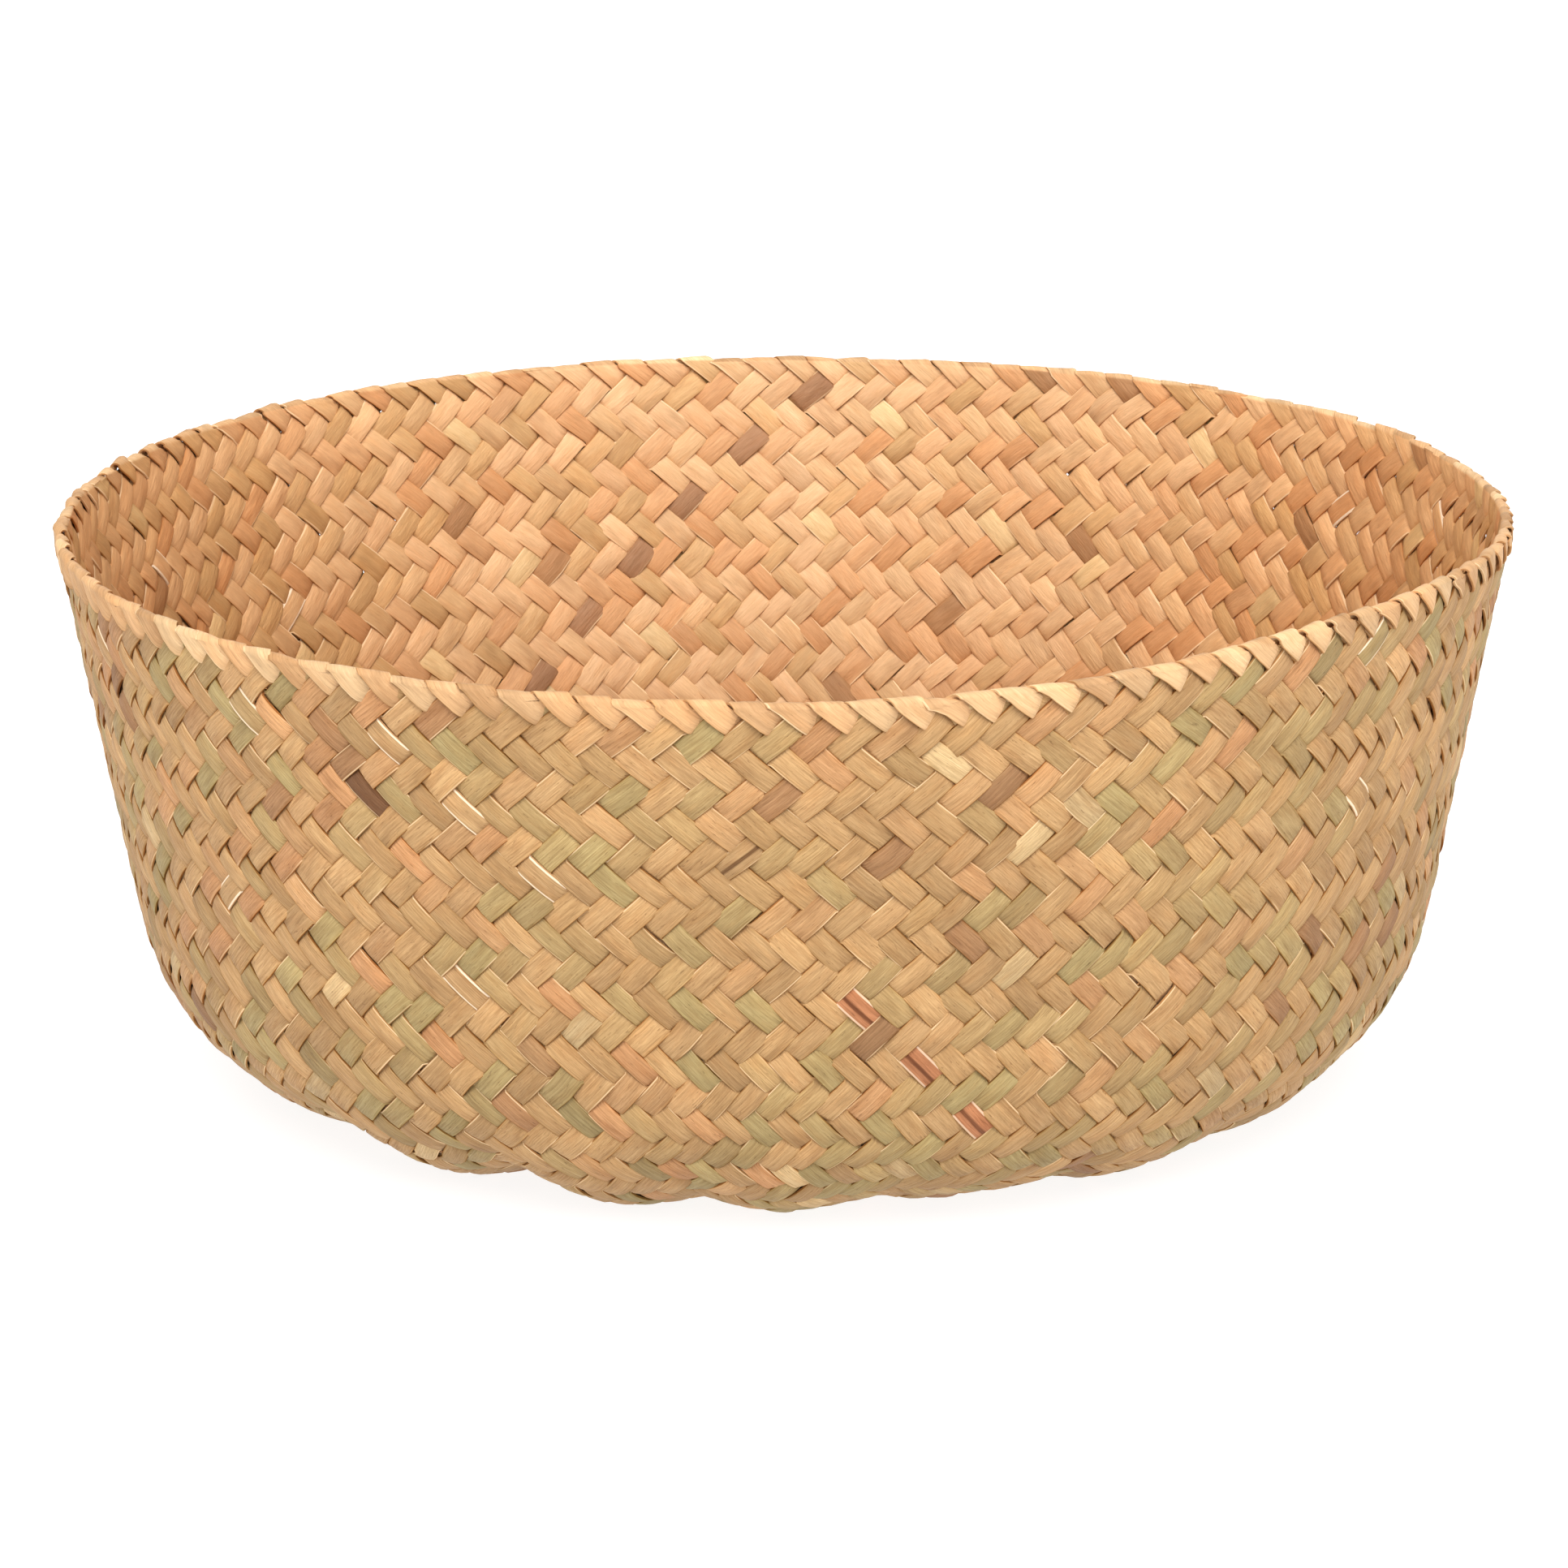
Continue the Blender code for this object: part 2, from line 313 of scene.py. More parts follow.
def weave_stations(strand):
    """Places along a strand as (travel, height, float number), from its hidden end up."""
    start = -(2.0 * (RIM_ROW - HIDDEN_END_ROWS) - abs(strand))
    end = 2.0 * RIM_ROW - abs(strand)
    crossings = np.arange(math.ceil(start - 0.5) + 0.5, end, 1.0)
    stations = [(start, over(strand, crossings[0]), 0)]
    number = 0
    for here, there in zip(crossings, crossings[1:]):
        height = over(strand, here)
        if over(strand, there) == height:
            stations.append((0.5 * (here + there), height * FLOAT_ARCH, number))
            continue
        for share, factor in FLOAT_STEPS:
            if here + share > stations[-1][0]:
                stations.append((here + share, height * factor, number + (factor < 0.0)))
        number += 1
    for row in (SKEW_END_ROW, RIM_ROW):
        stations.append((2.0 * row - abs(strand), -1.0, number))
    return stations


def tangents(line):
    """Unit directions along a run of points that are unevenly spaced."""
    steps = np.diff(line, axis=0)
    lengths = np.linalg.norm(steps, axis=1)[:, None]
    ways = steps / lengths
    inner = ways[:-1] * lengths[1:] + ways[1:] * lengths[:-1]
    return unit(np.vstack((ways[:1], inner, ways[-1:])))


class Strand:
    """The middle line of one strand, with its directions, width and float numbers."""

    def __init__(self, number):
        self.number = number
        self.runs_along_y = number < STRANDS_EACH_WAY
        self.fixed = number % STRANDS_EACH_WAY - 0.5 * (STRANDS_EACH_WAY - 1)
        self.sense = math.copysign(1.0, self.fixed) * (1.0 if self.runs_along_y else -1.0)
        self.rng = np.random.default_rng(SEED + number)

    def spots(self, travel, beside=0.0):
        moving = self.sense * travel
        still = np.full_like(moving, self.fixed) + beside
        return lattice(still, moving) if self.runs_along_y else lattice(moving, still)

    def wander(self, travel, size, spacing):
        """A smooth random run of the given size along the strand."""
        knots = np.arange(-WANDER_REACH, WANDER_REACH + spacing, spacing)
        return np.interp(travel, knots, self.rng.normal(0.0, size, len(knots)))

    def build(self):
        stations = np.array(weave_stations(self.fixed))
        travel, height, number = stations.T
        beside = self.wander(travel, SIDE_WANDER, WANDER_SPACING)
        row, arc, azimuth = self.spots(travel, beside)
        azimuth = np.unwrap(azimuth)
        lift = height * (LAYER_HEIGHT + self.wander(travel, HEIGHT_WANDER, WANDER_SPACING))
        above = smooth_step((row - DIVE_ROW) / DIVE_ROWS)
        folding, hidden = above * (travel > 0.0), above * (travel < 0.0)
        depth = -FOLD_DEPTH_SHARE * LAYER_HEIGHT
        lift = (lift + (depth - lift) * folding) * (1.0 - hidden)
        pitch = 2.0 * math.pi / PITCHES

        turns = np.linspace(0.0, math.pi, FOLD_STEPS + 1)[1:]
        outer = WRAP_HEIGHT + self.rng.normal(0.0, WRAP_WANDER)
        middle, reach = 0.5 * (outer + lift[-1]), 0.5 * (outer - lift[-1])
        rise = np.clip(self.rng.normal(0.0, FOLD_WANDER), -FOLD_WANDER_LIMIT, FOLD_WANDER_LIMIT)
        fold_arc = arc[-1] + (reach + rise) * np.sin(turns)
        fold_azimuth = azimuth[-1] + pitch * FOLD_SHIFT * turns / math.pi
        fold_lift = middle - reach * np.cos(turns)

        fall, heights, thicknesses, skews = np.array(WRAP_STEPS).T
        wrap_row = RIM_ROW - fall
        wrap_arc = row_arc(wrap_row)
        wrap_azimuth = fold_azimuth[-1] + pitch * fall

        folded = len(turns) + len(fall)
        self.arc = np.concatenate((arc, fold_arc, wrap_arc))
        self.azimuth = np.concatenate((azimuth, fold_azimuth, wrap_azimuth))
        self.lift = np.concatenate((lift, fold_lift, outer * heights))
        self.turn = np.concatenate((np.zeros(len(arc)), turns, np.full(len(fall), math.pi)))
        raised = np.clip(heights, 0.0, 1.0)
        self.folding = np.concatenate((folding, np.ones(len(turns)), raised))
        self.row = np.concatenate((row, np.full(len(turns), RIM_ROW), wrap_row))
        skew = smooth_step((row - SKEW_START_ROW) / (SKEW_END_ROW - SKEW_START_ROW))
        self.skew = np.concatenate((skew, np.ones(len(turns)), skews))
        pressed = 1.0 - (1.0 - PRESSED_SHARE) * hidden
        thickness = np.concatenate((pressed, np.ones(len(turns)), thicknesses))
        self.thickness = STRAND_THICKNESS * thickness
        self.float_number = np.concatenate((number, np.full(folded, number[-1] + 1))).astype(int)
        self.outside = np.concatenate((height > 0.0, np.ones(folded, bool)))
        self.face = np.concatenate((np.clip(height, -1.0, 1.0), -np.ones(folded)))
        self.half_width = self.half_widths(travel, row, height, folded)
        return self

    def half_widths(self, travel, row, height, folded):
        """Half the strand's width: what its neighbours leave it, give or take a little."""
        before = place(*self.spots(travel, -BESIDE)[1:])
        after = place(*self.spots(travel, BESIDE)[1:])
        along = tangents(place(*self.spots(travel)[1:]))
        across = 0.5 * (after - before) / BESIDE
        across -= (across * along).sum(axis=1)[:, None] * along
        room = np.linalg.norm(across, axis=1)
        above_mat = row > MAT_ROWS + 1.0
        least, most = (
            np.where(above_mat, *limits) * STRAND_SPACING
            for limits in zip(ROOM_LIMITS, MAT_ROOM_LIMITS)
        )
        room = np.clip(room, least, most)
        factor = WIDTH_SHARE + self.wander(travel, WIDTH_WANDER, WIDTH_SPACING)
        factor = np.clip(factor + self.rng.normal(0.0, STRAND_WIDTH_WANDER), *WIDTH_LIMITS)
        turning = np.abs(height) < TURNING_HEIGHT
        half = 0.5 * room * (factor + TURN_WIDTH_SHARE * turning)
        return np.concatenate((half, np.full(folded, 0.5 * STRAND_SPACING * WRAP_WIDTH_SHARE)))

    def rings(self):
        """Points round the strand at each station, and how far along it each station is."""
        out, up, around = wall_directions(self.arc, self.azimuth)
        line = place(self.arc, self.azimuth) + out * self.lift[:, None]
        along = tangents(line)
        cosine, sine = np.cos(self.turn)[:, None], np.sin(self.turn)[:, None]
        facing = cosine * out - sine * up
        across = unit(np.cross(facing, along))
        facing = np.cross(along, across)
        roll = self.rolls()[:, None]
        lean = (along * around).sum(axis=1) / (across * around).sum(axis=1)
        lean = np.clip(lean, -LEAN_LIMIT, LEAN_LIMIT)
        across, facing = (
            np.cos(roll) * across + np.sin(roll) * facing,
            np.cos(roll) * facing - np.sin(roll) * across,
        )
        lean = np.where(self.skew > 0.0, self.skew * lean, 0.0)[:, None]
        across = across + lean * along
        section = np.array(SECTION)
        wide = self.half_width[:, None, None] * section[None, :, :1] * across[:, None, :]
        thick = self.thickness[:, None, None] * section[None, :, 1:] * facing[:, None, :]
        steps = np.linalg.norm(np.diff(line, axis=0), axis=1)
        return line[:, None, :] + wide + thick, np.concatenate(([0.0], np.cumsum(steps)))

    def rolls(self):
        """How far each float is tilted about its length, its lower edge mostly standing out."""
        tilt = self.rng.normal(0.0, FLOAT_TILT, self.float_number[-1] + 1)[self.float_number]
        tilt = tilt - self.face * np.cos(self.turn) * SHINGLE_TILT
        tilt = tilt + self.folding * np.cos(self.turn) * FOLD_TILT
        return tilt - WRAP_TILT * np.sin(0.5 * self.turn) ** 2


# Colours of the dried strands, as a screen shows them

OLIVE = (187, 163, 113)
KHAKI = (192, 166, 114)
TAN = (206, 162, 112)
STRAW = (214, 170, 120)
PEACH = (216, 160, 112)
ORANGE = (212, 155, 107)
CREAM = (230, 194, 144)
BROWN = (178, 132, 92)
DARK = (128, 88, 58)
PLUM = (170, 126, 92)
BLUSH = (232, 187, 142)
RED = (206, 138, 96)
OUTSIDE_RAMP = (OLIVE, KHAKI, TAN, STRAW, PEACH, ORANGE)
INSIDE_RAMP = (TAN, STRAW, BLUSH, PEACH, ORANGE)

# The strands' outer, inner and folded faces get their own tints, which paint light and shade on
# them, and inside, painted shade makes them browner at the basket's left and right than at its
# front and back
OUTSIDE_PAINTED_LIGHT = (0.80, 0.81, 0.78)
INSIDE_PAINTED_LIGHT = (0.985, 1.0, 0.99)
# Painted shade on the inner faces at the basket's left, then at its right
INSIDE_SIDE_PAINTED_SHADES = ((0.82, 0.71, 0.58), (0.92, 0.80, 0.66))
RIM_PAINTED_LIGHT = (1.0, 0.99, 1.04)
# Painted shade: the folded ends are darker down the outside than over the rim's top
RIM_LOW_PAINTED_SHADE = (0.95, 0.94, 0.93)
# Painted shade at the ends of floats, where they pass under the crossing strands
OUTSIDE_END_PAINTED_SHADE = (0.92, 0.89, 0.85)
INSIDE_END_PAINTED_SHADE = (0.94, 0.89, 0.83)
END_HEIGHT = 0.9
# Painted shade: floats darker towards the base, outside and inside
OUTSIDE_LOW_SHADE = 0.09
INSIDE_LOW_SHADE = 0.28
RIM_RAMP = (TAN, STRAW, CREAM)

# Floats that stand out: strand, floats counted from its hidden end, colour, pale edges, crease
MARKED_FLOATS = (
    (65, (1, 3, 5, 7, 9, 11), PLUM, 0.0, 0.0),
    (114, (4,), DARK, 0.0, 0.0),
    (117, (2, 4, 6), STRAW, 1.0, 0.0),
    (122, (10, 12, 14), RED, 0.6, 1.0),
    (108, (5,), BROWN, 0.0, 0.0),
)
PALE_EDGE_SHARE = 0.008
CREASE_SHARE = 0.003

# Where strands lie on the ramps, and how they differ from each other and along themselves.
# Pairs are for outside and inside
MIDDLE_HUE = 0.46
STRAND_HUE = 0.125
ALONG_HUE = 0.11
ALONG_FLOATS = 7
FLOAT_HUE = 0.07
FLOAT_LIGHTS = (0.075, 0.04)
STRAND_LIGHT_SHARE = 0.5
LOW_ROWS = 14.0
OUTSIDE_LOW_HUE = 0.08
RIM_HUES = (0.5, 0.3)
FOLD_FIBRE_SHARE = 0.45
BROWN_SHARES = (0.03, 0.014)
CREAM_SHARE = 0.022


def linear(colour):
    """The linear light that a screen colour stands for."""
    value = np.asarray(colour, float) / 255.0
    return np.where(value <= 0.04045, value / 12.92, ((value + 0.055) / 1.055) ** 2.4)


def ramp_colour(ramp, value):
    steps = np.array([linear(colour) for colour in ramp])
    value = np.clip(value, 0.0, 1.0) * (len(ramp) - 1)
    channels = [np.interp(value, np.arange(len(ramp)), steps[:, i]) for i in range(3)]
    return np.stack(channels, axis=-1)


def float_colours(strand):
    """A colour for each station, alike along a strand, and its marks.

    The marks are pale edges, a crease and how fibrous the face is, each from 0 to 1. The
    colours carry painted light and shade: face tints, and darker sides, ends, folds and base.
    """
    rng = strand.rng
    floats = strand.float_number[-1] + 1
    first = np.array([int(np.argmax(strand.float_number == n)) for n in range(floats)])
    outside = strand.outside[first]
    low = 1.0 - smooth_step((strand.row[first] - MAT_ROWS) / LOW_ROWS)
    value = MIDDLE_HUE + rng.normal(0.0, STRAND_HUE) + rng.normal(0.0, FLOAT_HUE, floats)
    knots = np.arange(0, floats + ALONG_FLOATS + 1, ALONG_FLOATS)
    value = value + np.interp(np.arange(floats), knots, rng.normal(0.0, ALONG_HUE, len(knots)))
    spread = np.where(outside, *FLOAT_LIGHTS)
    light = 1.0 + spread * (rng.normal(0.0, 1.0, floats) + rng.normal(0.0, STRAND_LIGHT_SHARE))
    kind = rng.random(floats)
    value = value - np.where(outside, OUTSIDE_LOW_HUE * low, 0.0)
    # Painted shade towards the base
    light = light * (1.0 - low * np.where(outside, OUTSIDE_LOW_SHADE, INSIDE_LOW_SHADE))
    colours = np.where(
        outside[:, None], ramp_colour(OUTSIDE_RAMP, value), ramp_colour(INSIDE_RAMP, value)
    )
    brown = kind < np.where(outside, *BROWN_SHARES)
    colours = np.where(brown[:, None], linear(BROWN), colours)
    colours = np.where((kind > 1.0 - CREAM_SHARE)[:, None], linear(CREAM), colours)
    pale_edges = (rng.random(floats) < PALE_EDGE_SHARE).astype(float)
    crease = (rng.random(floats) < CREASE_SHARE) * outside.astype(float)
    for number, marked, colour, pale, creased in MARKED_FLOATS:
        if number == strand.number + 1:
            colours[list(marked)] = linear(colour)
            pale_edges[list(marked)], crease[list(marked)] = pale, creased
    # Painted shade inside, strongest at the basket's left and right
    side = np.sin(strand.azimuth[first])[:, None]
    painted_side_shade = np.where(side < 0.0, *INSIDE_SIDE_PAINTED_SHADES)
    inside_painted_light = np.array(INSIDE_PAINTED_LIGHT) * (1.0 - side ** 2 * (1.0 - painted_side_shade))
    # Painted light and shade: outer and inner faces of the same strands are tinted apart
    colours = colours * np.where(outside[:, None], OUTSIDE_PAINTED_LIGHT, inside_painted_light)
    # The folded end takes the rim's ramp and the rim's painted light
    colours[-1] = ramp_colour(RIM_RAMP, rng.normal(*RIM_HUES)) * RIM_PAINTED_LIGHT
    rough = np.where(np.arange(floats) < floats - 1, outside, FOLD_FIBRE_SHARE)
    marks = np.column_stack((pale_edges, crease, rough))
    # Painted shade at the float ends, where they dive under the crossing strands
    ends = np.where(strand.outside[:, None], OUTSIDE_END_PAINTED_SHADE, INSIDE_END_PAINTED_SHADE)
    ends = np.where((np.abs(strand.face) < END_HEIGHT)[:, None], ends, 1.0)
    # Painted shade down the outside of the folds
    shaded_fold = smooth_step(2.0 * strand.turn / math.pi - 1.0)[:, None]
    ends = ends * (1.0 - shaded_fold * (1.0 - np.array(RIM_LOW_PAINTED_SHADE)))
    return (colours * light[:, None])[strand.float_number] * ends, marks[strand.float_number]


SHARP_ANGLE = math.radians(48.0)


def strand_piece(strand, material):
    """One strand as a closed ribbon with its colours and its own coordinates."""
    rings, along = strand.rings()
    count, sides = rings.shape[:2]
    name = f"strand_{strand.number + 1:03d}"
    vertex = np.arange(count * sides).reshape(count, sides)
    here, there = vertex[:-1], vertex[1:]
    quads = np.stack(
        (here, np.roll(here, -1, axis=1), np.roll(there, -1, axis=1), there), axis=-1
    ).reshape(-1, 4)
    faces = quads.tolist() + [vertex[0, ::-1].tolist(), vertex[-1].tolist()]
    mesh = bpy.data.meshes.new(name)
    mesh.from_pydata(rings.reshape(-1, 3).tolist(), [], faces)
    colours, marks = float_colours(strand)
    tones = np.repeat(colours, sides, axis=0)
    tone = mesh.color_attributes.new("tone", "FLOAT_COLOR", "POINT")
    tone.data.foreach_set("color", np.column_stack((tones, np.ones(len(tones)))).ravel())
    across = np.tile([point[0] for point in SECTION], count)
    seed = np.full(count * sides, float(strand.number))
    spots = np.column_stack((np.repeat(along, sides), across, seed))
    fibre = mesh.attributes.new("fibre", "FLOAT_VECTOR", "POINT")
    fibre.data.foreach_set("vector", spots.ravel())
    marked = mesh.attributes.new("marks", "FLOAT_VECTOR", "POINT")
    marked.data.foreach_set("vector", np.repeat(marks, sides, axis=0).ravel())
    mesh.materials.append(material)
    mesh.shade_smooth()
    mesh.set_sharp_from_angle(angle=SHARP_ANGLE)
    piece = bpy.data.objects.new(name, mesh)
    bpy.context.scene.collection.objects.link(piece)
    return piece


# Materials

# Shares of the strand's own colour, but for the last two, which are colours
DARK_GRAIN = (0.52, 0.44, 0.36, 1.0)
WARM_PATCH = (1.0, 0.90, 0.80, 1.0)
# Pale patches and streaks of the leaf; the cloud patches are partly painted highlights
PALE_PATCH_AND_HIGHLIGHT = (1.16, 1.20, 1.26, 1.0)
DARK_FLECK = (0.34, 0.25, 0.18, 1.0)
# Painted shade on the strands' side edges, in the gaps between them
EDGE_PAINTED_SHADE = (0.60, 0.44, 0.30, 1.0)
# Pale worn edges, partly painted highlights along the strands' edges
WORN_EDGE_AND_HIGHLIGHT = (0.90, 0.68, 0.42, 1.0)
SPLIT_EDGE = (0.90, 0.72, 0.52, 1.0)


def math_node(tree, operation, *inputs):
    made = tree.nodes.new("ShaderNodeMath")
    made.operation = operation
    for socket, value in zip(made.inputs, inputs):
        if isinstance(value, (int, float)):
            socket.default_value = value
        else:
            tree.links.new(value, socket)
    return made.outputs[0]


def attribute(tree, name, output):
    made = tree.nodes.new("ShaderNodeAttribute")
    made.attribute_name = name
    return made.outputs[output]


def map_range(tree, value, low, high, to_low, to_high):
    made = tree.nodes.new("ShaderNodeMapRange")
    limits = {"From Min": low, "From Max": high, "To Min": to_low, "To Max": to_high}
    for name, number in limits.items():
        made.inputs[name].default_value = number
    tree.links.new(value, made.inputs["Value"])
    return made.outputs["Result"]


def mix(tree, factor, first, second, way="MIX"):
    made = tree.nodes.new("ShaderNodeMix")
    made.data_type = "RGBA"
    made.blend_type = way
    tree.links.new(factor, made.inputs["Factor"])
    for name, value in (("A", first), ("B", second)):
        socket = next(s for s in made.inputs if s.name == name and s.type == "RGBA")
        if isinstance(value, tuple):
            socket.default_value = value
        else:
            tree.links.new(value, socket)
    return next(s for s in made.outputs if s.type == "RGBA")


def separate(tree, vector):
    split = tree.nodes.new("ShaderNodeSeparateXYZ")
    tree.links.new(vector, split.inputs[0])
    return tuple(split.outputs)


SEED_STEP = 3.7


class Grain:
    """Noise in a strand's own coordinates, stretched along it."""

    def __init__(self, tree):
        self.tree = tree
        self.along, self.across, self.seed = separate(tree, attribute(tree, "fibre", "Vector"))

    def noise(self, along_scale, across_scale, detail, roughness):
        spot = self.tree.nodes.new("ShaderNodeCombineXYZ")
        scaled = (
            math_node(self.tree, "MULTIPLY", self.along, along_scale),
            math_node(self.tree, "MULTIPLY", self.across, across_scale),
            math_node(self.tree, "MULTIPLY", self.seed, SEED_STEP),
        )
        for value, socket in zip(scaled, spot.inputs):
            self.tree.links.new(value, socket)
        made = self.tree.nodes.new("ShaderNodeTexNoise")
        made.inputs["Scale"].default_value = 1.0
        made.inputs["Detail"].default_value = detail
        made.inputs["Roughness"].default_value = roughness
        self.tree.links.new(spot.outputs[0], made.inputs["Vector"])
        return made.outputs["Fac"]


# Noise scales along and across the strand, detail and roughness
FINE_FIBRES = (120.0, 9.0, 4.0, 0.75)
PATCHES = (95.0, 1.2, 2.0, 0.5)
CLOUDS = (130.0, 1.6, 3.0, 0.6)
SHADES = (75.0, 0.7, 2.0, 0.5)
STREAKS = (30.0, 7.0, 2.0, 0.5)
FLECKS = (420.0, 6.0, 2.0, 0.6)
WEAR_AND_HIGHLIGHT = (45.0, 0.5, 1.0, 0.5)

# What share of a layer a smooth face and a fibrous face get
FIBROUS_SHARES = (0.35, 1.0)
MOTTLED_SHARES = (0.75, 0.8)
EDGE_SHADE_SHARES = (0.3, 1.0)

# Ranges as (from low, from high, to low, to high), the side being 0 in the strand's middle
WORN_AND_HIGHLIT_PLACES = (0.52, 0.66, 0.0, 0.65)
WORN_AND_HIGHLIT_SIDE = (0.86, 0.92, 0.0, 1.0)
SPLIT_SIDE = (0.78, 0.84, 0.0, 0.9)
EDGE_SHADE_SIDE = (0.94, 0.98, 0.0, 1.0)
CREASE_SIDE = (0.10, 0.22, 0.9, 0.0)
CREASE_OFFSET = 0.15
ROUGHNESS = (0.3, 0.7, 0.50, 0.72)
SHEEN_OF_SIDE = (0.70, 0.95, 0.22, 0.0)

# Strength and depth of the bumps
FIBRE_BUMP = (0.7, 0.00025)
DENT_BUMP = (0.8, 0.0006)


def bump_node(tree, height, strength, depth, normal=None):
    made = tree.nodes.new("ShaderNodeBump")
    made.inputs["Strength"].default_value = strength
    made.inputs["Distance"].default_value = depth
    tree.links.new(height, made.inputs["Height"])
    if normal is not None:
        tree.links.new(normal, made.inputs["Normal"])
    return made.outputs["Normal"]


def with_grain(tree, grain, fine, cloud, rough):
    """The strand's own colour with its fibres, patches, streaks and flecks."""
    fibrous = map_range(tree, rough, 0.0, 1.0, *FIBROUS_SHARES)
    mottled = map_range(tree, rough, 0.0, 1.0, *MOTTLED_SHARES)
    layers = (
        (fine, 0.40, 0.64, 0.62, DARK_GRAIN, fibrous),
        (grain.noise(*PATCHES), 0.46, 0.70, 0.70, WARM_PATCH, mottled),
        # Pale clouds, partly painted highlights on the floats
        (cloud, 0.50, 0.70, 0.70, PALE_PATCH_AND_HIGHLIGHT, mottled),
        (grain.noise(*SHADES), 0.50, 0.72, 0.50, DARK_GRAIN, mottled),
        (grain.noise(*STREAKS), 0.56, 0.70, 0.70, PALE_PATCH_AND_HIGHLIGHT, fibrous),
        (grain.noise(*FLECKS), 0.64, 0.74, 0.55, DARK_FLECK, fibrous),
    )
    colour = attribute(tree, "tone", "Color")
    for noise, low, high, strength, tint, share in layers:
        factor = map_range(tree, noise, low, high, 0.0, strength)
        factor = math_node(tree, "MULTIPLY", factor, share)
        colour = mix(tree, factor, colour, tint, "MULTIPLY")
    return colour


def with_marks(tree, grain, side, colour, marks):
    """The colour with worn edges partly painted as highlights, split edges, painted shade on the
    side edges and a crease along some floats.
    """
    pale_edges, crease, rough = marks
    # Pale worn edges, partly painted highlights
    worn_and_highlit = map_range(tree, grain.noise(*WEAR_AND_HIGHLIGHT), *WORN_AND_HIGHLIT_PLACES)
    edge = math_node(tree, "MULTIPLY", map_range(tree, side, *WORN_AND_HIGHLIT_SIDE), worn_and_highlit)
    colour = mix(tree, edge, colour, WORN_EDGE_AND_HIGHLIGHT)
    split = math_node(tree, "MULTIPLY", map_range(tree, side, *SPLIT_SIDE), pale_edges)
    colour = mix(tree, split, colour, SPLIT_EDGE)
    middle = math_node(tree, "ABSOLUTE", math_node(tree, "ADD", grain.across, CREASE_OFFSET))
    fold = math_node(tree, "MULTIPLY", map_range(tree, middle, *CREASE_SIDE), crease)
    colour = mix(tree, fold, colour, DARK_FLECK, "MULTIPLY")
    # Painted shade on the side edges, between neighbouring strands
    edge_shade = map_range(tree, rough, 0.0, 1.0, *EDGE_SHADE_SHARES)
    edge_shade = math_node(tree, "MULTIPLY", map_range(tree, side, *EDGE_SHADE_SIDE), edge_shade)
    return mix(tree, edge_shade, colour, EDGE_PAINTED_SHADE, "MULTIPLY")


def strand_material():
    material = bpy.data.materials.new("seagrass_strand")
    material.use_nodes = True
    tree = material.node_tree
    shader = tree.nodes["Principled BSDF"]
    grain = Grain(tree)
    marks = separate(tree, attribute(tree, "marks", "Vector"))
    fine, cloud = grain.noise(*FINE_FIBRES), grain.noise(*CLOUDS)
    side = math_node(tree, "ABSOLUTE", grain.across)
    colour = with_grain(tree, grain, fine, cloud, marks[2])
    colour = with_marks(tree, grain, side, colour, marks)
    fibres = bump_node(tree, fine, *FIBRE_BUMP)
    tree.links.new(colour, shader.inputs["Base Color"])
    tree.links.new(map_range(tree, fine, *ROUGHNESS), shader.inputs["Roughness"])
    tree.links.new(map_range(tree, side, *SHEEN_OF_SIDE), shader.inputs["Specular IOR Level"])
    tree.links.new(bump_node(tree, cloud, *DENT_BUMP, fibres), shader.inputs["Normal"])
    return material


def build_basket():
    material = strand_material()
    for number in range(PITCHES):
        piece = strand_piece(Strand(number).build(), material)
        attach(piece, BODY)
        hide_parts("base_mat", "belly_wall", "rim_border")


# Studio

PHOTO_SIDE = 1932
FOCAL_PIXELS = 7678.0
SENSOR_WIDTH = 36.0
CAMERA_DISTANCE = 1.730
CAMERA_ELEVATION = math.radians(16.25)
CAMERA_AIM = Vector((0.0, 0.0, 0.0768))
CAMERA_REACH = 20.0

# Name, azimuth from the front and elevation in degrees, strength, and width in degrees
SUNS = (
    ("key", 0.0, 42.0, 2.15, 50.0),
    ("high", 0.0, 60.0, 1.95, 50.0),
    ("left", -80.0, 3.0, 0.7, 10.0),
    ("right", 80.0, 3.0, 0.9, 10.0),
    ("back", 180.0, 30.0, 0.6, 50.0),
)
WORLD_STRENGTH = 0.35
WHITE = (1.0, 1.0, 1.0, 1.0)

# The floor glows a little, so that it stays pale round the basket
FLOOR_SIDE = 8.0
FLOOR_GAP = 0.0004
FLOOR_COLOUR = (0.24, 0.24, 0.24, 1.0)
FLOOR_ROUGHNESS = 0.9
FLOOR_GLOW = 0.86


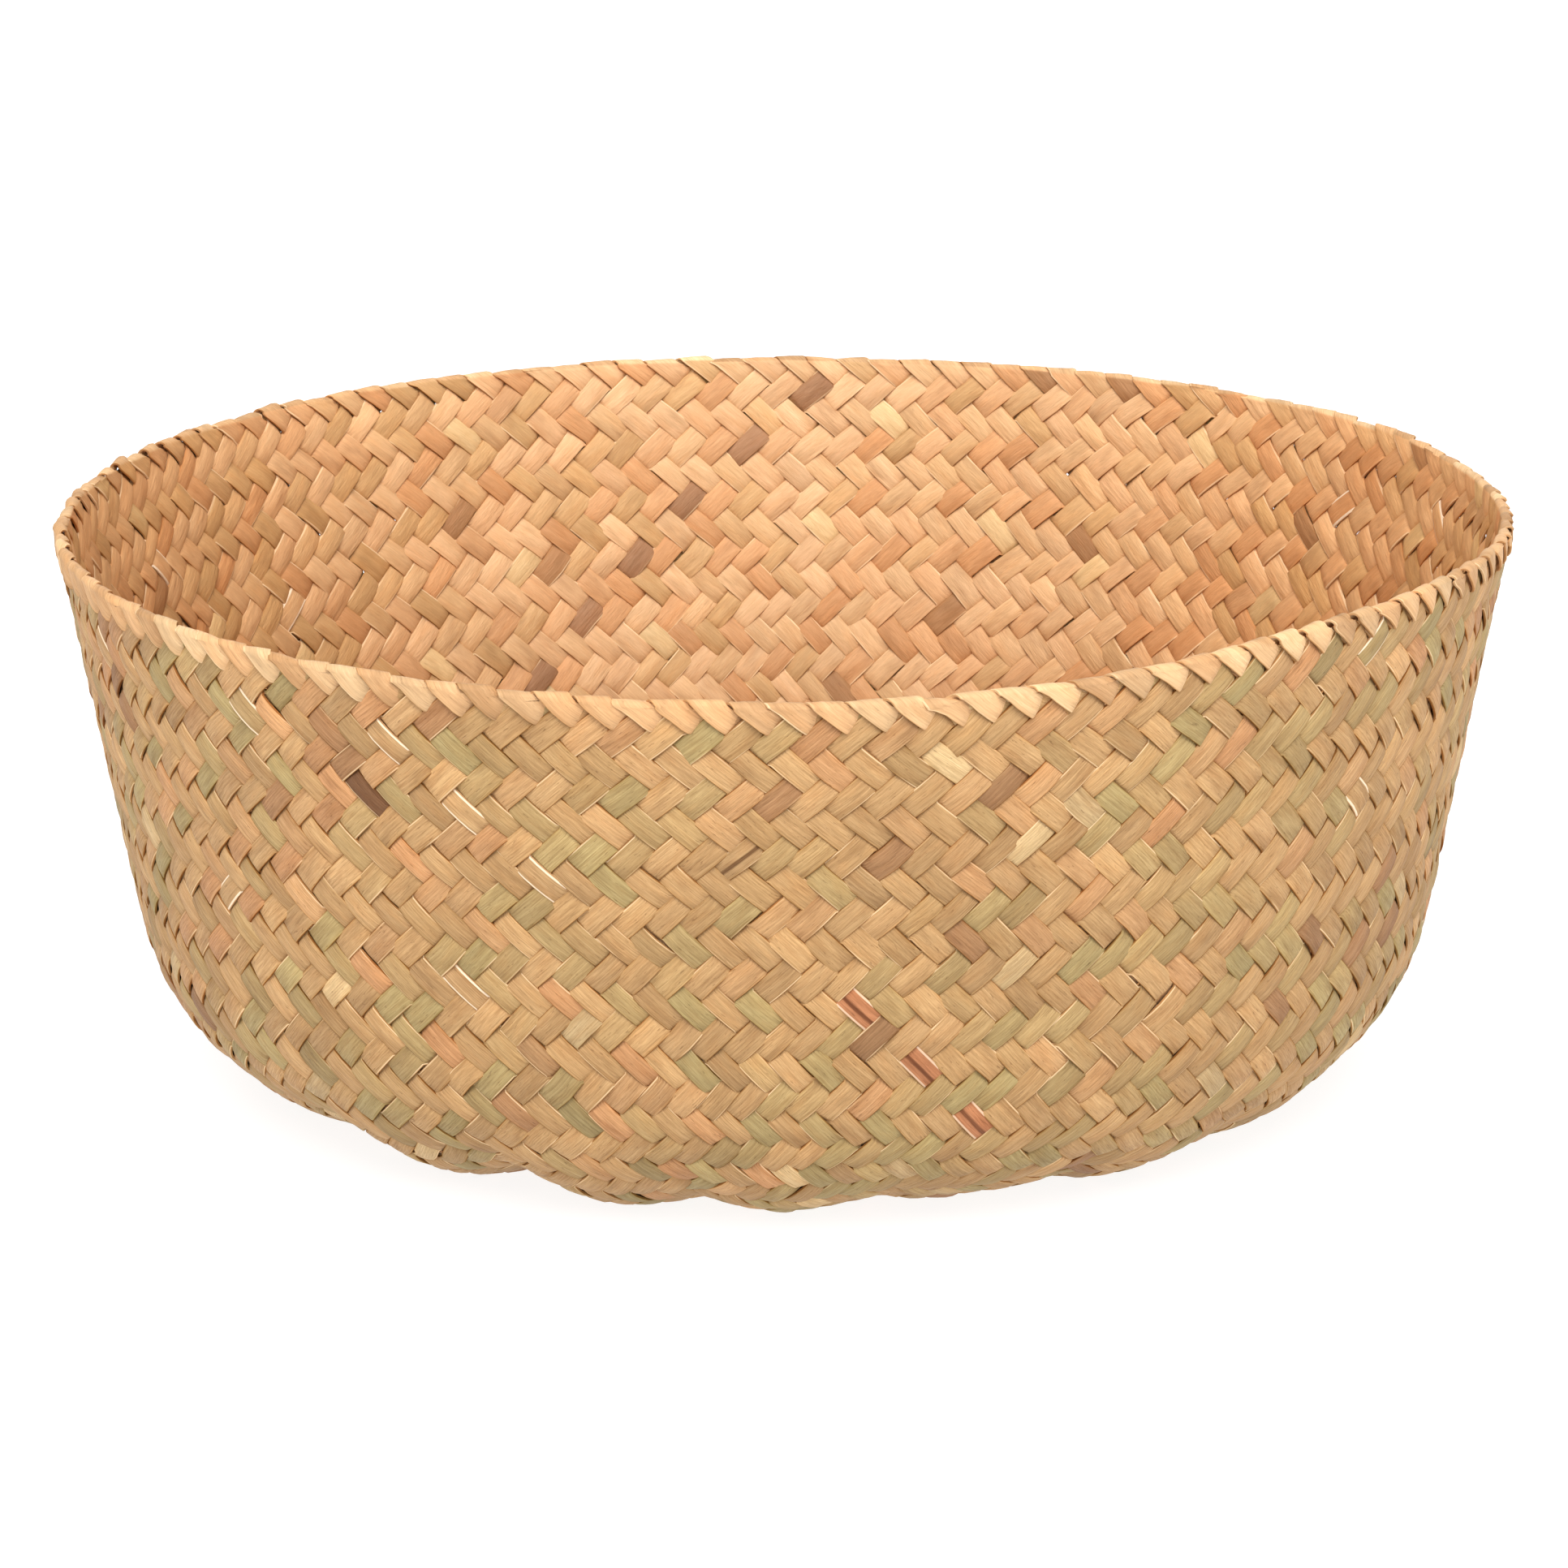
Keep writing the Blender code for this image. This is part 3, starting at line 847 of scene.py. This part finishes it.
def build_camera():
    data = bpy.data.cameras.new("camera")
    data.sensor_width = SENSOR_WIDTH
    data.lens = SENSOR_WIDTH * FOCAL_PIXELS / PHOTO_SIDE
    data.clip_end = CAMERA_REACH
    camera = bpy.data.objects.new("camera", data)
    back = Vector((0.0, -math.cos(CAMERA_ELEVATION), math.sin(CAMERA_ELEVATION)))
    camera.location = CAMERA_AIM + back * CAMERA_DISTANCE
    camera.rotation_euler = (-back).to_track_quat("-Z", "Y").to_euler()
    bpy.context.scene.collection.objects.link(camera)
    bpy.context.scene.camera = camera


def sun(name, azimuth, elevation, strength, softness):
    data = bpy.data.lights.new(name, "SUN")
    data.energy = strength
    data.angle = math.radians(softness)
    light = bpy.data.objects.new(name, data)
    azimuth, elevation = math.radians(azimuth), math.radians(elevation)
    towards = Vector((
        math.sin(azimuth) * math.cos(elevation),
        -math.cos(azimuth) * math.cos(elevation),
        math.sin(elevation),
    ))
    light.location = towards
    light.rotation_euler = (-towards).to_track_quat("-Z", "Y").to_euler()
    bpy.context.scene.collection.objects.link(light)


def build_floor():
    side = FLOOR_SIDE
    corners = [(-side, -side, 0.0), (side, -side, 0.0), (side, side, 0.0), (-side, side, 0.0)]
    mesh = bpy.data.meshes.new("floor")
    mesh.from_pydata(corners, [], [(0, 1, 2, 3)])
    material = bpy.data.materials.new("pale_floor")
    material.use_nodes = True
    shader = material.node_tree.nodes["Principled BSDF"]
    shader.inputs["Base Color"].default_value = FLOOR_COLOUR
    shader.inputs["Roughness"].default_value = FLOOR_ROUGHNESS
    shader.inputs["Emission Color"].default_value = WHITE
    shader.inputs["Emission Strength"].default_value = FLOOR_GLOW
    mesh.materials.append(material)
    floor = bpy.data.objects.new("floor", mesh)
    floor.location.z = -FLOOR_GAP
    bpy.context.scene.collection.objects.link(floor)


def build_light():
    world = bpy.data.worlds.new("studio")
    world.use_nodes = True
    background = world.node_tree.nodes["Background"]
    background.inputs["Color"].default_value = WHITE
    background.inputs["Strength"].default_value = WORLD_STRENGTH
    bpy.context.scene.world = world
    for values in SUNS:
        sun(*values)
    bpy.context.scene.view_settings.view_transform = "Standard"


build_camera()
build_floor()
build_light()
build_basket()
